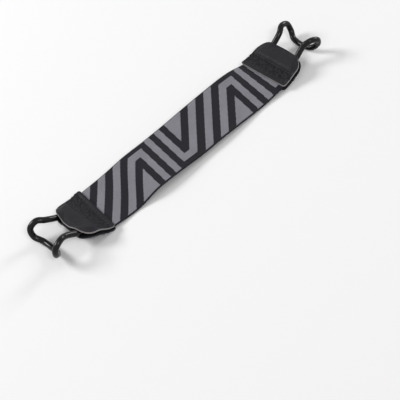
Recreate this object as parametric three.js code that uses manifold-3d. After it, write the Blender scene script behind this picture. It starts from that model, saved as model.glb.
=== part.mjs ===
// Hand strap for an e-reader: a wide elastic band with a woven zigzag, a two-layer
// leather tab sewn round each end, and a bent wire hook held in each tab.
// Millimetres, +Z up, +X along the strap, the strap lying face up with its hooks on the ground.

import * as THREE from 'three';
import { mergeVertices } from 'three/addons/utils/BufferGeometryUtils.js';
import Module from 'manifold-3d';

const wasm = await Module();
wasm.setup();

// Gap left between pieces that touch
const seatGap = 0.3;

// Elastic band
const bandWidth = 38;
const bandThickness = 1.3;
const bandOpenLength = 150.8;
const bandTuck = 12;
const weaveRelief = 0.3;
const selvedge = 0.7;

// How the band lies, at equal steps of its length from the left tab to the right one:
// height of its middle, and roll about its length in degrees
const lieHeights = [3, 2.9, 5.9, 5.7, 5.3, 5.7, 5.2, 4.2, 2.5];
const lieRolls = [1.7, 5.6, 2.3, 2.7, 5.7, 7.1, 9.5, 10.3, -0.2];

// Woven zigzag: one repeat has a steep flank and an upright flank
const weaveRepeat = 82.6;
const uprightSpan = 34.8;
const stripesPerFlank = 7;
const peakFromMiddle = -34.5;
const tipRise = 0.8;
const flankLean = 0.93;
const uprightLean = 0.05;
const innerFlat = 9.6;
const outerFlat = 15;

// Leather tab
const leather = 1.1;
const tabLength = 24.7;
const tabWidth = 39.8;
const tabCorner = 10;
const tabBow = 0.9;
const tabBend = 10;
const tabTilt = 18;
const rimGap = 0.3;
const rimBlend = 4.5;
const barRise = 3.8;
const rimFall = 1.5;
const legBlend = 4.2;

// Wire hook
const wireDiameter = 4.2;
const legSpacing = 23.1;
const legKick = 15;
const baseBend = 3.4;
const legStraight = 9.2;
const earReach = 17.7;
const earSplay = 3.3;
const hookDrop = 13.2;
const crossReach = 11.1;
const crossFlat = 8;

// How each tab lies with its hook, in degrees: roll about the strap's length, turn in plan
const leftRoll = -9.2;
const rightRoll = -3.8;
const leftTurn = -2;
const rightTurn = 1.9;

// Facets
const wireSides = 12;
const wireSteps = 80;
const bandSteps = 46;
const bandLanes = 4;
const tabBandRows = 3;
const tabWireRows = 9;
const tabSideColumns = 4;
const outlineStep = 5;

// Sizes that follow from the ones above
const wireRadius = wireDiameter / 2;
const halfOpen = bandOpenLength / 2;
const bandHalf = bandThickness / 2;
const bandSeat = bandHalf + seatGap;
const wireSeat = wireRadius + seatGap;
const barFromEdge = bandTuck + seatGap + wireRadius;
const cornerCentre = tabWidth / 2 - tabCorner;
const legEdge = legSpacing / 2;

// Free length of the tab at a place across it: a bowed end between two round corners
const tabReach = (across) => {
  const side = Math.abs(across);
  if (side <= cornerCentre) return tabLength - tabBow * (side / cornerCentre) ** 2;
  const inCorner = Math.min(side - cornerCentre, tabCorner);
  return tabLength - tabBow - tabCorner + Math.sqrt(tabCorner ** 2 - inCorner ** 2);
};
const exitReach = tabReach(legEdge);
const baseReach = barFromEdge - exitReach;

const smooth = (x) => {
  const t = Math.min(Math.max(x, 0), 1);
  return t * t * (3 - 2 * t);
};
const radians = THREE.MathUtils.degToRad;

// Wire of one hook, seen from its leg's exit: out from the tab, across it, up from it.
// The part outside the tab kicks up by legKick, then turns down into two ears
// that run back together under the tab into the cross wire.
const kick = (out, across, up) => {
  const angle = radians(legKick);
  const o = out * Math.cos(angle) - up * Math.sin(angle);
  const u = out * Math.sin(angle) + up * Math.cos(angle);
  return new THREE.Vector3(o, across, u);
};
const halfWire = [
  new THREE.Vector3(baseReach, legEdge - 2 * baseBend, 0),
  new THREE.Vector3(baseReach + baseBend * 0.3, legEdge - baseBend * 0.3, 0),
  new THREE.Vector3(baseReach + 1.6 * baseBend, legEdge, 0),
  new THREE.Vector3(-wireRadius / 2, legEdge, 0),
  kick(legStraight, legEdge + earSplay * 0.07, 0),
  kick(earReach * 0.82, legEdge + earSplay * 0.76, -hookDrop * 0.07),
  kick(earReach, legEdge + earSplay, -hookDrop * 0.47),
  kick(earReach * 0.875, legEdge + earSplay * 0.45, -hookDrop * 0.86),
  kick(crossReach, crossFlat, -hookDrop),
];
const mirrored = halfWire.map((p) => new THREE.Vector3(p.x, -p.y, p.z)).reverse();
const hookLoop = new THREE.CatmullRomCurve3([...halfWire, ...mirrored], true, 'centripetal');

// Lowest point of a hook under its leg's exit, once tilted with the tab and rolled
const tilt = radians(tabTilt);
const lift = (p, roll) => {
  const up = p.z * Math.cos(roll) + p.y * Math.sin(roll);
  return p.x * Math.sin(tilt) + up * Math.cos(tilt);
};
const hookDepth = (roll) => {
  const heights = hookLoop.getPoints(wireSteps).map((p) => lift(p, roll));
  return wireRadius - Math.min(...heights);
};

// Share of the open band's length that lies left of a place
const bandShare = (along) => Math.min(Math.max((along + halfOpen) / bandOpenLength, 0), 1);

// Smooth curve through equally spaced stops along the band: its value and its slope
const through = (stops, along) => {
  const last = stops.length - 1;
  const place = bandShare(along) * last;
  const k = Math.min(Math.floor(place), last - 1);
  const t = place - k;
  const tangent = (i) => {
    const [a, b] = [Math.max(i - 1, 0), Math.min(i + 1, last)];
    return (stops[b] - stops[a]) / (b - a);
  };
  const rise = stops[k + 1] - stops[k];
  const bend = tangent(k) + tangent(k + 1) - 2 * rise;
  const swing = 3 * rise - 2 * tangent(k) - tangent(k + 1);
  const value = stops[k] + t * (tangent(k) + t * (swing + t * bend));
  const perStop = tangent(k) + t * (2 * swing + 3 * t * bend);
  return { value, slope: (perStop * last) / bandOpenLength };
};

// Slope of the strap's middle line away from the middle of the band
const slopeAt = (side, distance) => {
  const inBand = side * Math.asin(through(lieHeights, side * distance).slope);
  const bent = Math.min(Math.max(distance - halfOpen, 0) / tabBend, 1);
  return inBand + (tilt - inBand) * bent;
};

// Middle line of one half of the strap: [along, up] at equal steps of its length
const walkStep = 0.25;
const walkEnd = halfOpen + tabLength + earReach + hookDrop;
const walkOf = (side) => {
  const walk = [[0, 0]];
  for (let d = 0; d < walkEnd; d += walkStep) {
    const [x, z] = walk[walk.length - 1];
    const slope = slopeAt(side, d + walkStep / 2);
    walk.push([x + walkStep * Math.cos(slope), z + walkStep * Math.sin(slope)]);
  }
  return walk;
};
const [leftWalk, rightWalk] = [walkOf(-1), walkOf(1)];
const middleLine = (side, distance) => {
  const walk = side < 0 ? leftWalk : rightWalk;
  const place = Math.min(distance / walkStep, walk.length - 1.001);
  const i = Math.floor(place);
  const part = place - i;
  return [0, 1].map((k) => walk[i][k] * (1 - part) + walk[i + 1][k] * part);
};

// Height of the band's middle that puts each end's hook on the ground
const exitRise = (side) => middleLine(side, halfOpen + exitReach)[1];
const leftLevel = hookDepth(radians(leftRoll)) - exitRise(-1);
const rightLevel = hookDepth(radians(rightRoll)) - exitRise(1);
const level = (leftLevel + rightLevel) / 2;

// Roll of the strap about its length; each tab takes its hook's roll by the base bar
const rollAt = (along) => {
  const inBand = through(lieRolls, along).value;
  const end = along < 0 ? leftRoll : rightRoll;
  const twist = smooth((Math.abs(along) - halfOpen) / barFromEdge);
  return radians(inBand + (end - inBand) * twist);
};

// Sideways bow: the band curves smoothly from one tab's turn to the other's
const bowAt = (along) => {
  const t = bandShare(along);
  const past = along - halfOpen * (2 * t - 1);
  const [a, b] = [leftTurn, rightTurn].map((angle) => Math.tan(radians(angle)));
  const bow = bandOpenLength * (a * t * (1 - t) ** 2 - b * t ** 2 * (1 - t));
  const turn = a * (1 - t) * (1 - 3 * t) + b * t * (3 * t - 2);
  return { shift: bow + past * turn, turn };
};

// Carries a point of the flat strap, along, across and out of its face, to where it lies
const lay = (along, across, out) => {
  const side = Math.sign(along) || 1;
  const distance = Math.abs(along);
  const [x, z] = middleLine(side, distance);
  const slope = slopeAt(side, distance);
  const roll = rollAt(along);
  const { shift, turn } = bowAt(along);
  const drift = ((side * (rightLevel - leftLevel)) / 2) * smooth(distance / halfOpen);
  const up = out * Math.cos(roll) + across * Math.sin(roll);
  const aside = across * Math.cos(roll) - out * Math.sin(roll);
  return new THREE.Vector3(
    side * (x - up * Math.sin(slope)) - aside * turn,
    aside + shift,
    level + drift + z + up * Math.cos(slope),
  );
};

// Closed skin round a grid: low and high give the two faces at column i and row j
const skin = (columns, rows, low, high) => {
  const points = [];
  const faces = [];
  const at = (face, i, j) => (face * (columns + 1) + i) * (rows + 1) + j;
  for (const face of [low, high]) {
    for (let i = 0; i <= columns; i += 1) {
      for (let j = 0; j <= rows; j += 1) points.push(...face(i, j).toArray());
    }
  }
  const quad = (a, b, c, d) => faces.push(a, b, c, a, c, d);
  for (let i = 0; i < columns; i += 1) {
    for (let j = 0; j < rows; j += 1) {
      quad(at(0, i, j), at(0, i, j + 1), at(0, i + 1, j + 1), at(0, i + 1, j));
      quad(at(1, i, j), at(1, i + 1, j), at(1, i + 1, j + 1), at(1, i, j + 1));
    }
  }
  for (let i = 0; i < columns; i += 1) {
    quad(at(0, i, 0), at(0, i + 1, 0), at(1, i + 1, 0), at(1, i, 0));
    quad(at(0, i + 1, rows), at(0, i, rows), at(1, i, rows), at(1, i + 1, rows));
  }
  for (let j = 0; j < rows; j += 1) {
    quad(at(0, 0, j + 1), at(0, 0, j), at(1, 0, j), at(1, 0, j + 1));
    quad(at(0, columns, j), at(0, columns, j + 1), at(1, columns, j + 1), at(1, columns, j));
  }
  const geometry = new THREE.BufferGeometry();
  geometry.setAttribute('position', new THREE.Float32BufferAttribute(points, 3));
  geometry.setIndex(faces);
  return geometry;
};

// Joins and cuts
const solidOf = (geometry) => {
  const bare = geometry.clone();
  bare.deleteAttribute('normal');
  bare.deleteAttribute('uv');
  const merged = mergeVertices(bare, 1e-4);
  const vertProperties = new Float32Array(merged.attributes.position.array);
  const triVerts = new Uint32Array(merged.index.array);
  return new wasm.Manifold(new wasm.Mesh({ numProp: 3, vertProperties, triVerts }));
};
const geometryOf = (solid) => {
  const mesh = solid.getMesh();
  const geometry = new THREE.BufferGeometry();
  geometry.setAttribute('position', new THREE.BufferAttribute(mesh.vertProperties, 3));
  geometry.setIndex(new THREE.BufferAttribute(mesh.triVerts, 1));
  return geometry;
};

// A strip of the band between two heights off its middle
const bandStrip = (halfLength, halfWidth, bottom, top) => {
  const place = (i, j) => [
    halfLength * ((2 * i) / bandSteps - 1),
    halfWidth * ((2 * j) / bandLanes - 1),
  ];
  const low = (i, j) => lay(...place(i, j), bottom);
  const high = (i, j) => lay(...place(i, j), top);
  return solidOf(skin(bandSteps, bandLanes, low, high));
};

// Outline on the flat band, with points added so that it can follow the band's curve
const finer = (corners) => corners.flatMap((a, n) => {
  const b = corners[(n + 1) % corners.length];
  const parts = Math.ceil(a.distanceTo(b) / outlineStep);
  return Array.from({ length: parts }, (unused, k) => a.clone().lerp(b, k / parts));
});

// Upright block over an outline, standing through the band's face
const blockOver = (corners, bottom, top) => {
  const outline = finer(corners.map(([x, y]) => new THREE.Vector2(x, y)));
  if (THREE.ShapeUtils.isClockWise(outline)) outline.reverse();
  const count = outline.length;
  const points = [bottom, top].flatMap((out) => outline.flatMap((p) => lay(p.x, p.y, out).toArray()));
  const caps = THREE.ShapeUtils.triangulateShape(outline, []);
  const faces = caps.flatMap(([a, b, c]) => [a, c, b, count + a, count + b, count + c]);
  for (let n = 0; n < count; n += 1) {
    const m = (n + 1) % count;
    faces.push(n, m, count + m, n, count + m, count + n);
  }
  const geometry = new THREE.BufferGeometry();
  geometry.setAttribute('position', new THREE.Float32BufferAttribute(points, 3));
  geometry.setIndex(faces);
  return solidOf(geometry);
};

// Zigzag outlines of one repeat. Up is 1 for peaks and -1 for valleys;
// tip is where the two flanks would meet without their flat tops.
const uprightStripe = uprightSpan / stripesPerFlank;
const leaningStripe = (weaveRepeat - uprightSpan) / stripesPerFlank;
const past = bandWidth / 2 + outlineStep;
const zigzag = (tip, up) => {
  const leaning = (stripe, y) => tip - up * leaningStripe * stripe + flankLean * (y - up * tipRise);
  const upright = (stripe, y) => tip + up * uprightStripe * stripe + uprightLean * (y - up * tipRise);
  const foot = -up * past;
  const triangle = [[leaning(0, foot), foot], [upright(0, foot), foot], [tip, up * tipRise]];
  const chevron = [
    [leaning(2, foot), foot],
    [leaning(2, up * outerFlat), up * outerFlat],
    [upright(2, up * outerFlat), up * outerFlat],
    [upright(2, foot), foot],
    [upright(1, foot), foot],
    [upright(1, up * innerFlat), up * innerFlat],
    [leaning(1, up * innerFlat), up * innerFlat],
    [leaning(1, foot), foot],
  ];
  const bar = (line) => [
    [line(3, -past), -past],
    [line(4, -past), -past],
    [line(4, past), past],
    [line(3, past), past],
  ];
  return up > 0 ? [triangle, chevron, bar(upright), bar(leaning)] : [triangle, chevron];
};

// Elastic band with its zigzag woven proud of the ground.
// The blocks stand well through the face, so that their flat ends stay clear of its curve.
const blockReach = bandThickness + outlineStep;
const tuckedHalf = halfOpen + bandTuck;
const repeats = Math.ceil(tuckedHalf / weaveRepeat) + 1;
let weave = null;
for (let n = -repeats; n <= repeats; n += 1) {
  const peak = peakFromMiddle + n * weaveRepeat;
  for (const [tip, up] of [[peak, 1], [peak + uprightSpan, -1]]) {
    for (const corners of zigzag(tip, up)) {
      const reach = Math.min(...corners.map(([x]) => Math.abs(x)));
      if (reach > tuckedHalf + outlineStep) continue;
      const block = blockOver(corners, -blockReach, blockReach);
      weave = weave ? weave.add(block) : block;
    }
  }
}
const raised = bandStrip(tuckedHalf, bandWidth / 2 - selvedge, 0, bandHalf + weaveRelief);
const ground = bandStrip(tuckedHalf, bandWidth / 2, -bandHalf, bandHalf);
const bandGeometry = geometryOf(ground.add(raised.intersect(weave)));

// Distance from a place in the tab to the tab's rim
const toRim = (inTab, across) => {
  const aside = Math.abs(across) - cornerCentre;
  if (aside <= 0) return tabReach(across) - inTab;
  const onward = Math.max(inTab - (tabLength - tabBow - tabCorner), 0);
  return tabCorner - Math.hypot(aside, onward);
};

// Inner face of a cover off the strap's middle: close on the band, plump over the wire,
// drawn in at the rim, with a soft tunnel where each leg comes out.
// It leaves the band's face just before the base bar, or just past the band at the sides.
const coverSeat = (inTab, across, bandFace) => {
  const pillow = rimGap + (wireSeat - rimGap) * smooth(toRim(inTab, across) / rimBlend);
  const toLeg = (Math.abs(across) - legEdge) / legBlend;
  const plump = Math.max(pillow, wireSeat * Math.exp(-(toLeg ** 2)));
  const start = plump > bandFace ? barFromEdge - barRise : bandTuck + seatGap;
  const full = plump > bandFace ? barFromEdge : barFromEdge + rimFall;
  return bandFace + (plump - bandFace) * smooth((inTab - start) / (full - start));
};

// Leather cover on one end of the strap; face is 1 for the top layer, -1 for the bottom one.
// Its grid has a column along the middle of each leg and a row along the base bar.
const legColumns = [-1, -0.5, 0, 0.5, 1].map((k) => legEdge + k * wireRadius);
const halfColumns = [0.34, 0.68].map((k) => k * legColumns[0]).concat(legColumns);
for (let i = 1; i <= tabSideColumns; i += 1) {
  const share = Math.sin((Math.PI / 2) * (i / tabSideColumns));
  halfColumns.push(legColumns[4] + (tabWidth / 2 - legColumns[4]) * share);
}
const columnPlaces = [...halfColumns.map((y) => -y).reverse(), 0, ...halfColumns];
const tabRows = tabBandRows + tabWireRows;
const rowPlace = (j, reach) => {
  if (j <= tabBandRows) return bandTuck * (j / tabBandRows);
  const share = (j - tabBandRows) / tabWireRows;
  const eased = share < 0.34 ? 1.7 * share ** 1.95 : 0.5 * share + 0.5 * smooth(share);
  return bandTuck + (reach - bandTuck) * eased;
};
const coverGeometry = (side, face) => {
  const columns = columnPlaces.length - 1;
  const bandFace = face > 0 ? bandSeat + weaveRelief : bandSeat;
  const point = (i, j, extra) => {
    const y = columnPlaces[i];
    const inTab = rowPlace(j, tabReach(y));
    const out = coverSeat(inTab, y, bandFace) + extra;
    return lay(side * (halfOpen + inTab), y, face * out);
  };
  const inner = (i, j) => point(i, j, 0);
  const outer = (i, j) => point(i, j, leather);
  return side * face > 0
    ? skin(columns, tabRows, (i, j) => inner(columns - i, j), (i, j) => outer(columns - i, j))
    : skin(columns, tabRows, inner, outer);
};

// Bent wire hook of one end
const hookGeometry = (side) => {
  const place = (p) => lay(side * (halfOpen + exitReach + p.x), p.y, p.z);
  const loop = new THREE.CatmullRomCurve3(hookLoop.points.map(place), true, 'centripetal');
  return new THREE.TubeGeometry(loop, wireSteps, wireRadius, wireSides, true);
};

const fabric = new THREE.MeshStandardMaterial({ color: 0x2a292f, roughness: 0.95, metalness: 0 });
const leatherBlack = new THREE.MeshStandardMaterial({ color: 0x35353a, roughness: 0.6, metalness: 0 });
const coatedWire = new THREE.MeshStandardMaterial({ color: 0x0e0e10, roughness: 0.22, metalness: 0.1 });

const group = new THREE.Group();
const addPiece = (name, geometry, material) => {
  const mesh = new THREE.Mesh(geometry, material);
  mesh.name = name;
  group.add(mesh);
};

addPiece('elastic_band', bandGeometry, fabric);
for (const [end, side] of [['left', -1], ['right', 1]]) {
  addPiece(`${end}_top_cover`, coverGeometry(side, 1), leatherBlack);
  addPiece(`${end}_bottom_cover`, coverGeometry(side, -1), leatherBlack);
  addPiece(`${end}_wire_hook`, hookGeometry(side), coatedWire);
}

// Centres the strap over the origin, on the ground
const box = new THREE.Box3().setFromObject(group);
const middle = box.getCenter(new THREE.Vector3());
for (const piece of group.children) piece.geometry.translate(-middle.x, -middle.y, -box.min.z);

export default group;
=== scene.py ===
import bpy
import numpy as np
from mathutils import Matrix, Vector


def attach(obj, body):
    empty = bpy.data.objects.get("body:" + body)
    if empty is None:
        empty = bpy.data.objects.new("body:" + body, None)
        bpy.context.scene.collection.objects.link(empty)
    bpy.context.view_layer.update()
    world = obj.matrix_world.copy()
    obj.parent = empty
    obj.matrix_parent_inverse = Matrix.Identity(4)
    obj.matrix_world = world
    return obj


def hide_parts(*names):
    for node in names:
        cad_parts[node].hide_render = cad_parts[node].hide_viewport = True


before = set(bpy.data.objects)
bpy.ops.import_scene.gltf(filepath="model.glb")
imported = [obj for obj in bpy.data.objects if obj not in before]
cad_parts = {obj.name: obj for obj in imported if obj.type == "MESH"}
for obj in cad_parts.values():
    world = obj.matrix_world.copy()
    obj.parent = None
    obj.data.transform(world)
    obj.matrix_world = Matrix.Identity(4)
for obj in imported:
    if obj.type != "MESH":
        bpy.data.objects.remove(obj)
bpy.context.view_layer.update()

print("frame loaded")

# how the strap lies, in millimetres and degrees, the same as the solids
strapLie = {
    "openLength": 150.8,      # band between the two tabs
    "heights": [3, 2.9, 5.9, 5.7, 5.3, 5.7, 5.2, 4.2, 2.5],    # of its middle, from left to right
    "rolls": [1.7, 5.6, 2.3, 2.7, 5.7, 7.1, 9.5, 10.3, -0.2],
    "tabBend": 10.0,
    "tabTilt": 18.0,
    "tabRoll": (-9.2, -3.8),  # left and right
    "tabTurn": (-2.0, 1.9),
    "twistEnd": 14.4,         # the tab has its hook's roll from here on
    "level": (4.848141, 5.564529),    # height of the middle, read from each end
    "exitReach": 23.662936,   # where the legs leave the tab
    "centre": (0.080093, 0.098848, -0.207442),
}
halfOpen = strapLie["openLength"] / 2


def smooth(x):
    # ease from 0 to 1: t squared times (3 - 2t)
    t = np.clip(x, 0, 1)
    return t * t * (3 - 2 * t)


def through(stops, along):
    # cubic between equal stops, each stop's slope half the step from its neighbours
    stops = np.asarray(stops, float)
    last = len(stops) - 1
    place = np.clip((along + halfOpen) / (2 * halfOpen), 0, 1) * last
    k = np.minimum(place.astype(int), last - 1)
    t = place - k
    tangent = np.gradient(stops)
    rise = stops[k + 1] - stops[k]
    bend = tangent[k] + tangent[k + 1] - 2 * rise
    swing = 3 * rise - 2 * tangent[k] - tangent[k + 1]
    value = stops[k] + t * (tangent[k] + t * (swing + t * bend))
    return value, (tangent[k] + t * (2 * swing + 3 * t * bend)) * last / (2 * halfOpen)


def slopeAt(side, distance):
    # slope of the height curve, then steady growth to the tab's tilt
    inBand = side * np.arcsin(through(strapLie["heights"], side * distance)[1])
    bent = np.clip((distance - halfOpen) / strapLie["tabBend"], 0, 1)
    return inBand + (np.radians(strapLie["tabTilt"]) - inBand) * bent


def walkOut(side):
    # the middle line is the sum of small steps, each turned by its slope
    step = 0.25
    place = np.arange(0, halfOpen + 70, step)
    slope = slopeAt(side, place + step / 2)
    along = np.cumsum(step * np.cos(slope)) - step * np.cos(slope)
    up = np.cumsum(step * np.sin(slope)) - step * np.sin(slope)
    return place, along, up


walks = {side: walkOut(side) for side in (-1, 1)}


def rollAt(along):
    # the band's own roll, eased to the tab's by the base bar
    end = np.where(along < 0, *strapLie["tabRoll"])
    inBand = through(strapLie["rolls"], along)[0]
    return np.radians(inBand + (end - inBand) * smooth((np.abs(along) - halfOpen) / strapLie["twistEnd"]))


def bowAt(along):
    # cubic that leaves each tab at its own turn, straight on past them
    t = np.clip((along + halfOpen) / (2 * halfOpen), 0, 1)
    past = along - halfOpen * (2 * t - 1)
    a, b = np.tan(np.radians(strapLie["tabTurn"]))
    turn = a * (1 - t) * (1 - 3 * t) + b * t * (3 * t - 2)
    return 2 * halfOpen * (a * t * (1 - t) ** 2 - b * t ** 2 * (1 - t)) + past * turn, turn


def lay(along, across, out):
    # a flat point goes to the middle line at its distance, rolled about the length,
    # then out along the face's own normal and aside with the bow; result in metres
    along, across, out = np.broadcast_arrays(*(np.asarray(v, float) for v in (along, across, out)))
    side = np.where(along < 0, -1.0, 1.0)
    distance = np.abs(along)
    x = np.where(along < 0, *(np.interp(distance, walks[s][0], walks[s][1]) for s in (-1, 1)))
    z = np.where(along < 0, *(np.interp(distance, walks[s][0], walks[s][2]) for s in (-1, 1)))
    slope = np.where(along < 0, slopeAt(-1, distance), slopeAt(1, distance))
    roll = rollAt(along)
    shift, turn = bowAt(along)
    left, right = strapLie["level"]
    drift = side * (right - left) / 2 * smooth(distance / halfOpen)
    up = out * np.cos(roll) + across * np.sin(roll)
    aside = across * np.cos(roll) - out * np.sin(roll)
    place = [
        side * (x - up * np.sin(slope)) - aside * turn,
        aside + shift,
        (left + right) / 2 + drift + z + up * np.cos(slope),
    ]
    return (np.stack(place, -1) - strapLie["centre"]) / 1000


def putMesh(name, points, quads, mats, useSmooth=True):
    # whole arrays go in as they are
    mesh = bpy.data.meshes.new(name)
    points, quads = np.asarray(points, float).reshape(-1, 3), np.asarray(quads, int)
    mesh.vertices.add(len(points))
    mesh.vertices.foreach_set("co", points.ravel())
    mesh.loops.add(quads.size)
    mesh.loops.foreach_set("vertex_index", quads.ravel())
    mesh.polygons.add(len(quads))
    mesh.polygons.foreach_set("loop_start", np.arange(len(quads)) * quads.shape[1])
    mesh.polygons.foreach_set("use_smooth", np.full(len(quads), useSmooth))
    mesh.update(calc_edges=True)
    mesh.validate()
    obj = bpy.data.objects.new(name, mesh)
    bpy.context.scene.collection.objects.link(obj)
    for mat in mats:
        mesh.materials.append(mat)
    return obj


def closedGrid(low, high):
    # two faces of a slab over one grid, joined by a wall round the rim
    columns, rows = low.shape[0], low.shape[1]
    count = columns * rows
    at = np.arange(count).reshape(columns, rows)
    lowQuads = np.stack([at[:-1, :-1], at[:-1, 1:], at[1:, 1:], at[1:, :-1]], -1).reshape(-1, 4)
    highQuads = np.stack([at[:-1, :-1], at[1:, :-1], at[1:, 1:], at[:-1, 1:]], -1).reshape(-1, 4) + count
    rim = np.concatenate([at[:-1, 0], at[-1, :-1], at[:0:-1, -1], at[0, :0:-1]])
    following = np.roll(rim, -1)
    wall = np.stack([rim, following, following + count, rim + count], -1)
    points = np.concatenate([low.reshape(-1, 3), high.reshape(-1, 3)])
    return points, lowQuads, highQuads, wall


def faceValue(obj, name, values):
    layer = obj.data.attributes.new(name, "FLOAT", "FACE")
    layer.data.foreach_set("value", np.asarray(values, float))


def faceUv(obj, name, flat):
    # each corner takes the flat place of its vertex
    layer = obj.data.uv_layers.new(name=name)
    corners = np.empty(len(obj.data.loops), int)
    obj.data.loops.foreach_get("vertex_index", corners)
    layer.data.foreach_set("uv", flat[corners].ravel())


class NodeMaker:
    # short way to add nodes and links to one material
    def __init__(self, name):
        self.mat = bpy.data.materials.new(name)
        self.mat.use_nodes = True
        self.tree = self.mat.node_tree
        self.shader = self.tree.nodes["Principled BSDF"]

    def plug(self, socket, value):
        if isinstance(value, bpy.types.NodeSocket):
            self.tree.links.new(value, socket)
        else:
            socket.default_value = value

    def add(self, kind, inputs=None, **settings):
        node = self.tree.nodes.new(kind)
        for key, value in settings.items():
            setattr(node, key, value)
        for key, value in (inputs or {}).items():
            self.plug(node.inputs[key], value)
        return node

    def surface(self, values):
        for key, value in values.items():
            self.plug(self.shader.inputs[key], value)

    def math(self, operation, a, b=0.0):
        return self.add("ShaderNodeMath", {0: a, 1: b}, operation=operation).outputs[0]

    def mix(self, factor, a, b):
        node = self.add("ShaderNodeMix", {"Factor": factor, "A": a, "B": b}, data_type="RGBA")
        return node.outputs["Result"]

    def place(self):
        return self.add("ShaderNodeTexCoord").outputs["Object"]

    def attribute(self, name):
        return self.add("ShaderNodeAttribute", attribute_name=name).outputs["Fac"]

    def noise(self, place, scale, detail=2.0, roughness=0.5):
        inputs = {"Vector": place, "Scale": scale, "Detail": detail, "Roughness": roughness}
        return self.add("ShaderNodeTexNoise", inputs).outputs["Fac"]

    def spread(self, value, start, end, low=0.0, high=1.0):
        inputs = {"Value": value, "From Min": start, "From Max": end, "To Min": low, "To Max": high}
        return self.add("ShaderNodeMapRange", inputs).outputs[0]

    def bump(self, height, strength, distance):
        inputs = {"Strength": strength, "Distance": distance, "Height": height}
        return self.add("ShaderNodeBump", inputs).outputs[0]


def shades(rgb, low, high):
    # one colour made darker and lighter
    return picture(np.multiply(rgb, low)), picture(np.multiply(rgb, high))


def picture(rgb):
    # colour as seen, 0 to 255, to the shader's own linear value
    c = np.asarray(rgb, float) / 255
    linear = np.where(c <= 0.04045, c / 12.92, ((c + 0.055) / 1.055) ** 2.4)
    return (*linear, 1.0)


# camera at the photograph's angle: long way off, with a roll that lays the strap up to the right
cameraFit = {
    "turn": 29.20,
    "height": 51.52,
    "roll": -16.29,
    "away": 0.67208,
    "lens": 90.0,
    "aside": (0.012737, -0.038232),
    "lookAt": (-0.00159, 0.00093, 0.00080),
}


def placeCamera():
    turn, height, roll = np.radians([cameraFit[k] for k in ("turn", "height", "roll")])
    look = np.array([np.sin(turn) * np.cos(height), np.cos(turn) * np.cos(height), -np.sin(height)])
    level = np.array([np.cos(turn), -np.sin(turn), 0])
    rise = np.cross(level, look)
    right = np.cos(roll) * level + np.sin(roll) * rise
    up = np.cos(roll) * rise - np.sin(roll) * level
    aside = cameraFit["aside"]
    spot = np.array(cameraFit["lookAt"]) - cameraFit["away"] * look + aside[0] * right + aside[1] * up
    data = bpy.data.cameras.new("camera")
    data.lens, data.sensor_width, data.sensor_fit = cameraFit["lens"], 36.0, "HORIZONTAL"
    data.clip_start, data.clip_end = 0.01, 20.0
    cam = bpy.data.objects.new("camera", data)
    bpy.context.scene.collection.objects.link(cam)
    turnMatrix = Matrix([[right[i], up[i], -look[i], spot[i]] for i in range(3)] + [[0, 0, 0, 1]])
    cam.matrix_world = turnMatrix
    bpy.context.scene.camera = cam


placeCamera()
print("camera placed")

bandLook = {
    "width": 38.0,
    "thickness": 1.3,
    "tuck": 12.0,             # band inside each tab
    "reliefRoom": 0.3,        # room left for the raised yarns
    "relief": 0.24,
    "cell": 0.4,              # one woven cell
    "selvedge": 0.7,          # plain black border
    "edgeRound": 0.6,
    "edgeDrop": 0.92,
    "repeat": 83.1,
    "valleyFromPeak": 32.8,
    "leaningStripe": 6.91,
    "uprightStripe": 4.72,
    "endStretch": 2.0,
    "peakFromMiddle": -35.5,
    "tipRise": 0.8,
    "lean": 0.86,
    "uprightLean": 0.05,
    "innerFlat": 9.6,
    "outerFlat": 15.0,
    "ribPitch": 1.1,
    "yarnPitch": 0.75,
    "black": (27, 26, 32),
    "grey": (132, 131, 138),
}


def zigzagGrey(along, across):
    # stripe number = the largest of: stripes left of the leaning flank, stripes right of
    # the upright flank, and height above the flat top; grey at the tip, 1 to 2 and 3 to 4;
    # the pattern is shifted by a square of the share along, so the ends differ in stretch
    b = bandLook
    upright, leaning = b["uprightStripe"], b["leaningStripe"]
    along = along - b["endStretch"] * (along / halfOpen) ** 2
    grey = np.zeros(np.shape(along), bool)
    for n in range(-3, 4):
        peak = b["peakFromMiddle"] + n * b["repeat"]
        for tip, up in ((peak, 1), (peak + b["valleyFromPeak"], -1)):
            rise = across - up * b["tipRise"]
            left = up * (tip - along + b["lean"] * rise) / leaning
            right = up * (along - tip - b["uprightLean"] * rise) / upright
            top = 1 + (up * across - b["innerFlat"]) / (b["outerFlat"] - b["innerFlat"])
            flank = np.maximum(left, right)
            number = np.maximum(flank, top)
            grey |= (number < 0) | ((number > 1) & (number < 2))
            if up > 0:
                oneFlank = np.minimum(left, right)
                grey |= (flank > 3) & (flank < 4) & (oneFlank < 3)
    return grey


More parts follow.
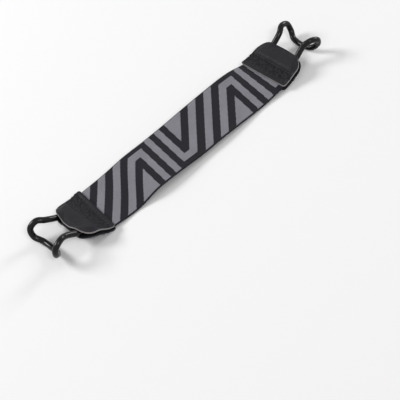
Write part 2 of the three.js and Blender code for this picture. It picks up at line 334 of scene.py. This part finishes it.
def weaveMaterial():
    b = bandLook
    make = NodeMaker("wovenElastic")
    uv = make.add("ShaderNodeUVMap", uv_map="flat").outputs[0]
    parts = make.add("ShaderNodeSeparateXYZ", {0: uv})
    # ribs run across the band, and finer yarns along it; the flat map is in millimetres
    ribs = make.math("SINE", make.math("MULTIPLY", parts.outputs[0], 2 * np.pi / b["ribPitch"]))
    yarns = make.math("SINE", make.math("MULTIPLY", parts.outputs[1], 2 * np.pi / b["yarnPitch"]))
    cloth = make.math("ADD", make.math("MULTIPLY", ribs, 0.35), make.math("MULTIPLY", yarns, 0.5))
    stretch = make.add("ShaderNodeMapping", {"Vector": uv, "Scale": (0.55, 1.6, 1)}).outputs[0]
    fleck = make.noise(stretch, 1.0, 3.0, 0.6)
    broad = make.noise(uv, 0.09)
    dark = make.mix(fleck, *shades(b["black"], 0.72, 1.28))
    pale = make.mix(fleck, *shades(b["grey"], 0.88, 1.1))
    yarn = make.mix(make.attribute("greyYarn"), dark, pale)
    # the yarn colour is darkened in the grooves between ribs and yarns and lightened on their tops:
    # painted shade and light that follow the bump's height; the slow noise is the yarn's own tone varying
    # at random
    paintedWeaveShade = make.spread(cloth, -0.85, 0.85, 0.82, 1.1)
    slowShade = make.spread(broad, 0.3, 0.7, 0.93, 1.06)
    level = make.math("MULTIPLY", paintedWeaveShade, slowShade)
    threefold = make.add("ShaderNodeCombineXYZ", {0: level, 1: level, 2: level}).outputs[0]
    yarnWithPaintedShade = make.add("ShaderNodeVectorMath", {0: yarn, 1: threefold}, operation="MULTIPLY")
    height = make.math("ADD", cloth, make.math("MULTIPLY", fleck, 0.8))
    make.surface({
        "Base Color": yarnWithPaintedShade.outputs[0],
        "Roughness": 0.9,
        "Specular IOR Level": 0.25,
        "Sheen Weight": 0.05,
        "Sheen Roughness": 0.5,
        "Normal": make.bump(height, 0.55, 0.00012),
    })
    return make.mat


def makeBand():
    # surface of along and across; its height off the middle is half the thickness,
    # rounded at the selvedge as a circle, plus the relief where the cells are grey
    b = bandLook
    halfLength, halfWidth = halfOpen + b["tuck"], b["width"] / 2
    columns, rows = int(2 * halfLength / b["cell"]), int(b["width"] / b["cell"])
    along = np.linspace(-halfLength, halfLength, columns + 1)
    across = np.linspace(-halfWidth, halfWidth, rows + 1)
    s, w = np.meshgrid(along, across, indexing="ij")
    cellS, cellW = ((v[:-1, :-1] + v[1:, 1:]) / 2 for v in (s, w))
    grey = zigzagGrey(cellS, cellW) & (np.abs(cellW) < halfWidth - b["selvedge"])
    padded = np.pad(grey.astype(float), 1, mode="edge")
    raised = (padded[:-1, :-1] + padded[1:, :-1] + padded[:-1, 1:] + padded[1:, 1:]) / 4
    toEdge = np.clip((np.abs(w) - halfWidth + b["edgeRound"]) / b["edgeRound"], 0, 1)
    half = b["thickness"] / 2 * np.sqrt(1 - b["edgeDrop"] * toEdge ** 2)
    high = lay(s, w, half + b["relief"] * raised)
    low = lay(s, w, -half)
    points, lowQuads, highQuads, wall = closedGrid(low, high)
    quads = np.concatenate([lowQuads, highQuads, wall])
    obj = putMesh("elasticBand", points, quads, [weaveMaterial()])
    plainBack, plainWall = np.zeros(len(lowQuads)), np.zeros(len(wall))
    faceValue(obj, "greyYarn", np.concatenate([plainBack, grey.ravel(), plainWall]))
    faceUv(obj, "flat", np.tile(np.stack([s, w], -1).reshape(-1, 2), (2, 1)))
    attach(obj, "root")
    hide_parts("elastic_band")


makeBand()
print("band woven")

tabLook = {
    "leather": 1.1,
    "length": 24.7,
    "width": 39.8,
    "corner": 10.0,
    "bow": 0.9,
    "rimGap": 0.7,            # half the opening between the layers at the rim
    "rimBlend": 4.5,
    "barRise": 3.8,
    "rimFall": 6.0,
    "legBlend": 7.5,
    "innerCorner": 1.6,
    "innerLean": {-1: 0.0, 1: -1.7},    # the right tab's upper corner reaches over the band
    "groundClear": 0.00003,
    "edgeBevel": 0.00028,
    "stitchRows": (3.0, 11.0),
    "stitchPitch": 2.7,
    "stitchLong": 1.9,
    "stitchMargin": 2.2,
    "thread": 0.42,
    "threadLift": 0.04,
    "threadDive": 0.22,
    "dimple": 0.75,
    "dimpleHalf": 0.85,
    "holeShare": 0.55,
    "sideFade": 2.5,
    "pucker": 0.3,
    "colour": (35, 34, 38),
    "cutEdgeAndHighlight": (150, 146, 146),
    "threadShaded": (20, 20, 23),
    "threadLit": (36, 35, 39),
    "grainScale": 1300.0,
    "creaseScale": 420.0,
    "wornScale": 70.0,
    "pitScale": 800.0,
}
wireLook = {
    "diameter": 4.2,
    "legSpacing": 23.1,
    "gap": 0.3,
    "sides": 28,
    "perPoint": 14,
    "colour": (9, 9, 11),
}
barFromEdge = bandLook["tuck"] + wireLook["gap"] + wireLook["diameter"] / 2
wireSeat = wireLook["diameter"] / 2 + wireLook["gap"]


def tabReach(across):
    # bowed end: length less bow times (side over flat) squared; round corners: circle
    t = tabLook
    side = np.abs(across)
    flat = t["width"] / 2 - t["corner"]
    bowed = t["length"] - t["bow"] * (side / flat) ** 2
    inCorner = np.clip(side - flat, 0, t["corner"])
    circle = np.sqrt(np.maximum(t["corner"] ** 2 - inCorner ** 2, 0))
    rounded = t["length"] - t["bow"] - t["corner"] + circle
    return np.where(side <= flat, bowed, rounded)


def toRim(inTab, across):
    # free length left ahead; in a corner, its radius less the distance from its centre
    t = tabLook
    aside = np.abs(across) - (t["width"] / 2 - t["corner"])
    onward = np.maximum(inTab - (t["length"] - t["bow"] - t["corner"]), 0)
    return np.where(aside <= 0, tabReach(across) - inTab, t["corner"] - np.hypot(aside, onward))


def coverSeat(inTab, across, bandFace):
    # close on the band, then eased up to a pillow that is drawn in at the rim,
    # with a bell-shaped tunnel over each leg
    t = tabLook
    drawnIn = smooth(toRim(inTab, across) / t["rimBlend"])
    pillow = t["rimGap"] + (wireSeat - t["rimGap"]) * drawnIn
    toLeg = (np.abs(across) - wireLook["legSpacing"] / 2) / t["legBlend"]
    plump = np.maximum(pillow, wireSeat * np.exp(-toLeg ** 2))
    rises = plump > bandFace
    start = np.where(rises, barFromEdge - t["barRise"], bandLook["tuck"] + wireLook["gap"])
    full = np.where(rises, barFromEdge, barFromEdge + t["rimFall"])
    return bandFace + (plump - bandFace) * smooth((inTab - start) / (full - start))


def leatherMaterial():
    t = tabLook
    make = NodeMaker("tabLeather")
    place = make.place()
    cells = make.add("ShaderNodeTexVoronoi", {"Vector": place, "Scale": t["grainScale"]},
                     feature="DISTANCE_TO_EDGE").outputs["Distance"]
    crease = make.noise(place, t["creaseScale"], 4.0, 0.65)
    worn = make.spread(make.noise(place, t["wornScale"]), 0.3, 0.7)
    # between the stitch rows the grain is pressed into small pits; the bump sinks them and their colour
    # is darkened to half the leather's as painted shade
    pitted = make.spread(make.noise(place, t["pitScale"]), 0.46, 0.6)
    pitDentAndShade = make.math("MULTIPLY", make.attribute("pressed"), pitted)
    base = make.mix(worn, *shades(t["colour"], 0.9, 1.12))
    base = make.mix(pitDentAndShade, base, picture(np.multiply(t["colour"], 0.5)))
    # pale colour of the cut edge: the raw edge's fibres, and partly a painted highlight, since only the
    # top layer's edge gets it
    edgeFibreAndHighlight = make.mix(crease, *shades(t["cutEdgeAndHighlight"], 0.75, 1.1))
    grain = make.math("MINIMUM", cells, 0.12)
    height = make.math("ADD", grain, make.math("MULTIPLY", crease, 0.25))
    height = make.math("SUBTRACT", height, make.math("MULTIPLY", pitDentAndShade, 0.5))
    make.surface({
        "Base Color": make.mix(make.attribute("cutEdgeAndHighlight"), base, edgeFibreAndHighlight),
        "Roughness": make.spread(crease, 0.3, 0.7, 0.48, 0.66),
        "Specular IOR Level": 0.13,
        "Normal": make.bump(height, 0.5, 0.00025),
    })
    return make.mat


def threadMaterial():
    make = NodeMaker("tabThread")
    inputs = {"Vector": make.place(), "Scale": 900.0, "Distortion": 1.0}
    twist = make.add("ShaderNodeTexWave", inputs, bands_direction="DIAGONAL").outputs["Fac"]
    # the thread is darker in the twist's grooves and lighter on its ridges: painted shade and light that
    # follow the bump
    dark, light = picture(tabLook["threadShaded"]), picture(tabLook["threadLit"])
    make.surface({
        "Base Color": make.mix(twist, dark, light),
        "Roughness": 0.7,
        "Normal": make.bump(twist, 0.5, 0.0001),
    })
    return make.mat


leather, thread = leatherMaterial(), threadMaterial()


def stitchPlaces():
    t = tabLook
    count = int(2 * (t["width"] / 2 - t["stitchMargin"]) / t["stitchPitch"])
    return (np.arange(count + 1) - count / 2) * t["stitchPitch"]


def dimpleAt(inTab, across):
    # each stitch row pulls the leather in: a bell across the row, deeper at each needle hole
    t = tabLook
    holes = 0.5 - 0.5 * np.cos(2 * np.pi * across / t["stitchPitch"])
    bells = sum(np.exp(-((inTab - row) / t["dimpleHalf"]) ** 2) for row in t["stitchRows"])
    depth = (1 - t["holeShare"] + t["holeShare"] * holes) * bells
    return t["dimple"] * depth * smooth((t["width"] / 2 - np.abs(across)) / t["sideFade"])


def puckerAt(inTab, across, seed):
    # lumps between the rows: sines of place whose phase other sines bend,
    # faded out past the rows
    first, last = tabLook["stitchRows"]
    between = smooth((inTab - first) / 1.5) * smooth((last - inTab) / 1.5)
    bentAcross = across + 1.1 * np.sin(0.61 * across + 0.9 * inTab + seed)
    bentIn = inTab + 0.8 * np.sin(0.83 * across - 0.5 * inTab + 2 * seed)
    cross = np.sin(1.25 * bentAcross) * np.sin(1.3 * bentIn)
    slant = 0.5 * np.sin(2.1 * bentAcross + 1.1 * bentIn + seed)
    return tabLook["pucker"] * between * (cross + slant)


def onGround(points):
    # nothing sinks into the ground that the strap lies on
    return np.maximum(points, (-1, -1, tabLook["groundClear"]))


def outerFace(inTab, across, bandFace, seed):
    # the seat plus the leather, less the dimples, plus the lumps
    thick = tabLook["leather"] - dimpleAt(inTab, across) + puckerAt(inTab, across, seed)
    return coverSeat(inTab, across, bandFace) + thick


def outward(points, quads):
    # six times the volume is the sum of each triangle's triple product;
    # where it is negative, every face is turned over
    a, b, c, d = (points[quads[:, k]] for k in range(4))
    sixfold = (a * np.cross(b, c)).sum() + (a * np.cross(c, d)).sum()
    return quads if sixfold > 0 else quads[:, ::-1]


def sideName(side, face=0, joint=""):
    # left or right, then top or bottom
    level = {1: "top", -1: "bottom", 0: ""}[face]
    return ("left" if side < 0 else "right") + (joint + level if joint else level.capitalize())


def makeCover(side, face):
    # grid of across and share of the reach; its outer face is the seat plus the leather
    t = tabLook
    halfWidth, legOutside = t["width"] / 2, (wireLook["legSpacing"] + wireLook["diameter"]) / 2
    # columns are even as far as the legs, then closer and closer by a sine
    beyond = legOutside + (halfWidth - legOutside) * np.sin(np.linspace(0, np.pi / 2, 13))
    halfPlaces = np.concatenate([np.linspace(0, legOutside, 28)[1:], beyond[1:]])
    across = np.concatenate([-halfPlaces[::-1], [0], halfPlaces])
    # rows go from the inner edge to the band's end, then on to the rim
    bandShare = np.linspace(0, 1, 29)
    share = np.concatenate([np.linspace(0, 0.22, 10)[1:], np.linspace(0.22, 1, 22)[1:]])
    inCorner = np.clip(np.abs(across) - halfWidth + t["innerCorner"], 0, t["innerCorner"])
    begin = t["innerCorner"] - np.sqrt(t["innerCorner"] ** 2 - inCorner ** 2)
    begin = (begin + t["innerLean"][side] * (across / halfWidth + 1) / 2)[:, None]
    onBand = begin + (bandLook["tuck"] - begin) * bandShare[None]
    reach = tabReach(across)[:, None]
    pastBand = bandLook["tuck"] + (reach - bandLook["tuck"]) * share[None]
    inTab = np.concatenate([onBand, pastBand], 1)
    w = np.repeat(across[:, None], inTab.shape[1], 1)
    bandFace = bandLook["thickness"] / 2 + wireLook["gap"]
    bandFace += bandLook["reliefRoom"] if face > 0 else 0
    seed = 1.3 * side + 2.1 * face
    along = side * (halfOpen + inTab)
    low = onGround(lay(along, w, face * coverSeat(inTab, w, bandFace)))
    high = onGround(lay(along, w, face * outerFace(inTab, w, bandFace, seed)))
    if side * face > 0:
        low, high, inTab = low[::-1], high[::-1], inTab[::-1]
    points, lowQuads, highQuads, wall = closedGrid(low, high)
    quads = outward(points, np.concatenate([lowQuads, highQuads, wall]))
    obj = putMesh(sideName(side, face) + "Cover", points, quads, [leather])
    # the top layer's cut edge is pale, the raw edge's colour given to the top layer only, partly as a
    # painted highlight; the bottom layer's edge keeps the leather's colour; the zone of the stitch rows
    # is pressed, with painted shade in its pits
    faceCount = len(lowQuads)
    rim = np.concatenate([np.zeros(2 * faceCount), np.full(len(wall), float(face > 0))])
    faceValue(obj, "cutEdgeAndHighlight", rim)
    middle = (inTab[:-1, :-1] + inTab[1:, 1:]).ravel() / 2
    first, last = t["stitchRows"]
    between = smooth((middle - first + 1) / 1.5) * smooth((last + 1 - middle) / 1.5)
    pressed = np.concatenate([np.zeros(faceCount), between, np.zeros(len(wall))])
    faceValue(obj, "pressed", pressed)
    bevel = obj.modifiers.new("roundEdge", "BEVEL")
    bevel.width, bevel.segments = t["edgeBevel"], 2
    bevel.limit_method, bevel.angle_limit = "ANGLE", np.radians(55)
    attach(obj, "root")
    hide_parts(sideName(side, face, "_") + "_cover")
    return seed, bandFace


def makeStitches(side, face, seed, bandFace):
    # each stitch is a short round-ended thread: a circle swept along an arch
    # that dives at both ends
    t = tabLook
    sweep = np.linspace(-1, 1, 9)
    turn = np.linspace(0, 2 * np.pi, 8, endpoint=False)
    rows, across = np.meshgrid(t["stitchRows"], stitchPlaces(), indexing="ij")
    rows, across = rows.ravel()[:, None, None], across.ravel()[:, None, None]
    sweep = sweep[None, :, None]
    radius = t["thread"] / 2 * np.sqrt(np.maximum(1 - sweep ** 4, 0.02))
    w = across + t["stitchLong"] / 2 * sweep + 0 * turn
    inTab = rows + radius * np.cos(turn)
    base = outerFace(rows + 0 * w, w, bandFace, seed)
    out = base + t["threadLift"] - t["threadDive"] * sweep ** 2 + radius * np.sin(turn)
    points = onGround(lay(side * (halfOpen + inTab), w, face * out))
    at = np.arange(w.size).reshape(w.shape)
    following = np.roll(at, -1, 2)
    ring = [at[:, :-1], following[:, :-1], following[:, 1:], at[:, 1:]]
    tube = np.stack(ring, -1).reshape(-1, 4)
    ends = np.concatenate([at[:, 0, ::-1], at[:, -1]])
    caps = ends[:, [[0, 1, 2, 3], [0, 3, 4, 7], [4, 5, 6, 7]]].reshape(-1, 4)
    flat = points.reshape(-1, 3)
    quads = outward(flat, np.concatenate([tube, caps]))
    obj = putMesh(sideName(side, face) + "Stitches", flat, quads, [thread])
    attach(obj, "root")


for side in (-1, 1):
    for face in (1, -1):
        seed, bandFace = makeCover(side, face)
        makeStitches(side, face, seed, bandFace)
print("tabs sewn")

# half of the hook's wire, out from the leg's exit, across and up, in millimetres
halfWire = np.array([
    (-9.263, 4.750, 0.000),
    (-8.243, 10.530, 0.000),
    (-3.823, 11.550, 0.000),
    (-1.050, 11.550, 0.000),
    (8.887, 11.781, 2.381),
    (14.259, 14.058, 2.864),
    (18.703, 14.850, -1.412),
    (17.898, 13.035, -6.957),
    (14.138, 8.000, -9.877),
])


def closedCurve(knots, perPoint):
    # centripetal spline through the knots: cubic pieces whose end slopes come from
    # neighbours spaced by the square root of their distance
    p0, p1, p2, p3 = (np.roll(knots, k, 0) for k in (1, 0, -1, -2))
    pairs = ((p0, p1), (p1, p2), (p2, p3))
    d0, d1, d2 = (np.linalg.norm(b - a, axis=1)[:, None] ** 0.5 for a, b in pairs)
    m1 = ((p1 - p0) / d0 - (p2 - p0) / (d0 + d1) + (p2 - p1) / d1) * d1
    m2 = ((p2 - p1) / d1 - (p3 - p1) / (d1 + d2) + (p3 - p2) / d2) * d1
    t = (np.arange(perPoint) / perPoint)[None, :, None]
    p1, p2, m1, m2 = (v[:, None] for v in (p1, p2, m1, m2))
    fromKnots = (2 * t**3 - 3 * t**2 + 1) * p1 + (3 * t**2 - 2 * t**3) * p2
    fromSlopes = (t**3 - 2 * t**2 + t) * m1 + (t**3 - t**2) * m2
    return (fromKnots + fromSlopes).reshape(-1, 3)


def wireMaterial():
    make = NodeMaker("coatedWire")
    place = make.place()
    ripple = make.noise(place, 160.0)
    speck = make.noise(place, 1500.0)
    make.surface({
        "Base Color": make.mix(ripple, *shades(wireLook["colour"], 1.0, 1.6)),
        "Roughness": make.spread(speck, 0.3, 0.7, 0.1, 0.17),
        "Specular IOR Level": 0.23,
        "Normal": make.bump(ripple, 0.12, 0.0002),
    })
    return make.mat


coating = wireMaterial()


def makeHook(side):
    # circle carried along the closed wire; it starts at the direction from the loop's
    # middle, less that direction's part along the wire
    knots = np.concatenate([halfWire, (halfWire * [1, -1, 1])[::-1]])
    outFrom = halfOpen + strapLie["exitReach"]
    placed = lay(side * (outFrom + knots[:, 0]), knots[:, 1], knots[:, 2])
    path = closedCurve(placed, wireLook["perPoint"])
    along = np.roll(path, -1, 0) - np.roll(path, 1, 0)
    along /= np.linalg.norm(along, axis=1)[:, None]
    out = path - path.mean(0)
    out -= along * (out * along).sum(1)[:, None]
    out /= np.linalg.norm(out, axis=1)[:, None]
    across = np.cross(along, out)
    angle = np.linspace(0, 2 * np.pi, wireLook["sides"], endpoint=False)[:, None]
    radius = wireLook["diameter"] / 2000
    ring = np.cos(angle) * out[:, None] + np.sin(angle) * across[:, None]
    flat = (path[:, None] + radius * ring).reshape(-1, 3)
    at = np.arange(len(flat)).reshape(len(path), -1)
    following = np.roll(at, -1, 1)
    corners = [at, following, np.roll(following, -1, 0), np.roll(at, -1, 0)]
    quads = outward(flat, np.stack(corners, -1).reshape(-1, 4))
    obj = putMesh(sideName(side) + "WireHook", flat, quads, [coating])
    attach(obj, "root")
    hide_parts(sideName(side) + "_wire_hook")


for side in (-1, 1):
    makeHook(side)
print("hooks bent")

studio = {
    "floorSize": 6.0,
    "floorTone": 0.93,
    "worldLevel": 0.32,
    "worldSeen": 0.95,
    "lamps": [
        # name, place, size and power
        ("keyBox", (-0.78, 1.05, 1.0), 0.6, 17.0),
        ("sideBox", (1.47, 0.0, 0.64), 0.5, 9.4),
        ("fillBox", (-0.1, -1.09, 1.3), 0.45, 6.4),
    ],
}


def makeFloor():
    size = studio["floorSize"] / 2
    corners = [(-size, -size, 0), (size, -size, 0), (size, size, 0), (-size, size, 0)]
    mesh = bpy.data.meshes.new("floor")
    mesh.from_pydata(corners, [], [(0, 1, 2, 3)])
    floor = bpy.data.objects.new("floor", mesh)
    bpy.context.scene.collection.objects.link(floor)
    make = NodeMaker("paleFloor")
    cloud = make.noise(make.place(), 3.0, 1.0)
    tone = studio["floorTone"]
    pale, paler = ((level, level, level, 1) for level in (tone, tone * 1.01))
    make.surface({
        "Base Color": make.mix(cloud, pale, paler),
        "Roughness": 0.95,
        "Specular IOR Level": 0.1,
    })
    mesh.materials.append(make.mat)


def makeLamps():
    # each lamp is square and faces the middle of the strap
    for name, place, size, power in studio["lamps"]:
        data = bpy.data.lights.new(name, "AREA")
        data.shape, data.size, data.energy = "SQUARE", size, power
        lamp = bpy.data.objects.new(name, data)
        bpy.context.scene.collection.objects.link(lamp)
        facing = (-Vector(place)).to_track_quat("-Z", "Y").to_matrix().to_4x4()
        lamp.matrix_world = Matrix.Translation(place) @ facing


def makeWorld():
    # the camera, a glossy surface and glass all see the same pale background
    world = bpy.data.worlds.new("studio")
    bpy.context.scene.world = world
    world.use_nodes = True
    tree = world.node_tree
    light = tree.nodes.new("ShaderNodeLightPath")
    seen = light.outputs["Is Camera Ray"]
    for ray in ("Is Glossy Ray", "Is Transmission Ray"):
        either = tree.nodes.new("ShaderNodeMath")
        either.operation = "MAXIMUM"
        tree.links.new(seen, either.inputs[0])
        tree.links.new(light.outputs[ray], either.inputs[1])
        seen = either.outputs[0]
    level = tree.nodes.new("ShaderNodeMix")
    level.data_type = "FLOAT"
    tree.links.new(seen, level.inputs["Factor"])
    level.inputs["A"].default_value = studio["worldLevel"]
    level.inputs["B"].default_value = studio["worldSeen"]
    back = tree.nodes["Background"]
    back.inputs["Color"].default_value = (1, 1, 1, 1)
    tree.links.new(level.outputs["Result"], back.inputs["Strength"])


makeFloor()
makeLamps()
makeWorld()
bpy.context.scene.view_settings.view_transform = "Standard"
print("studio lit")
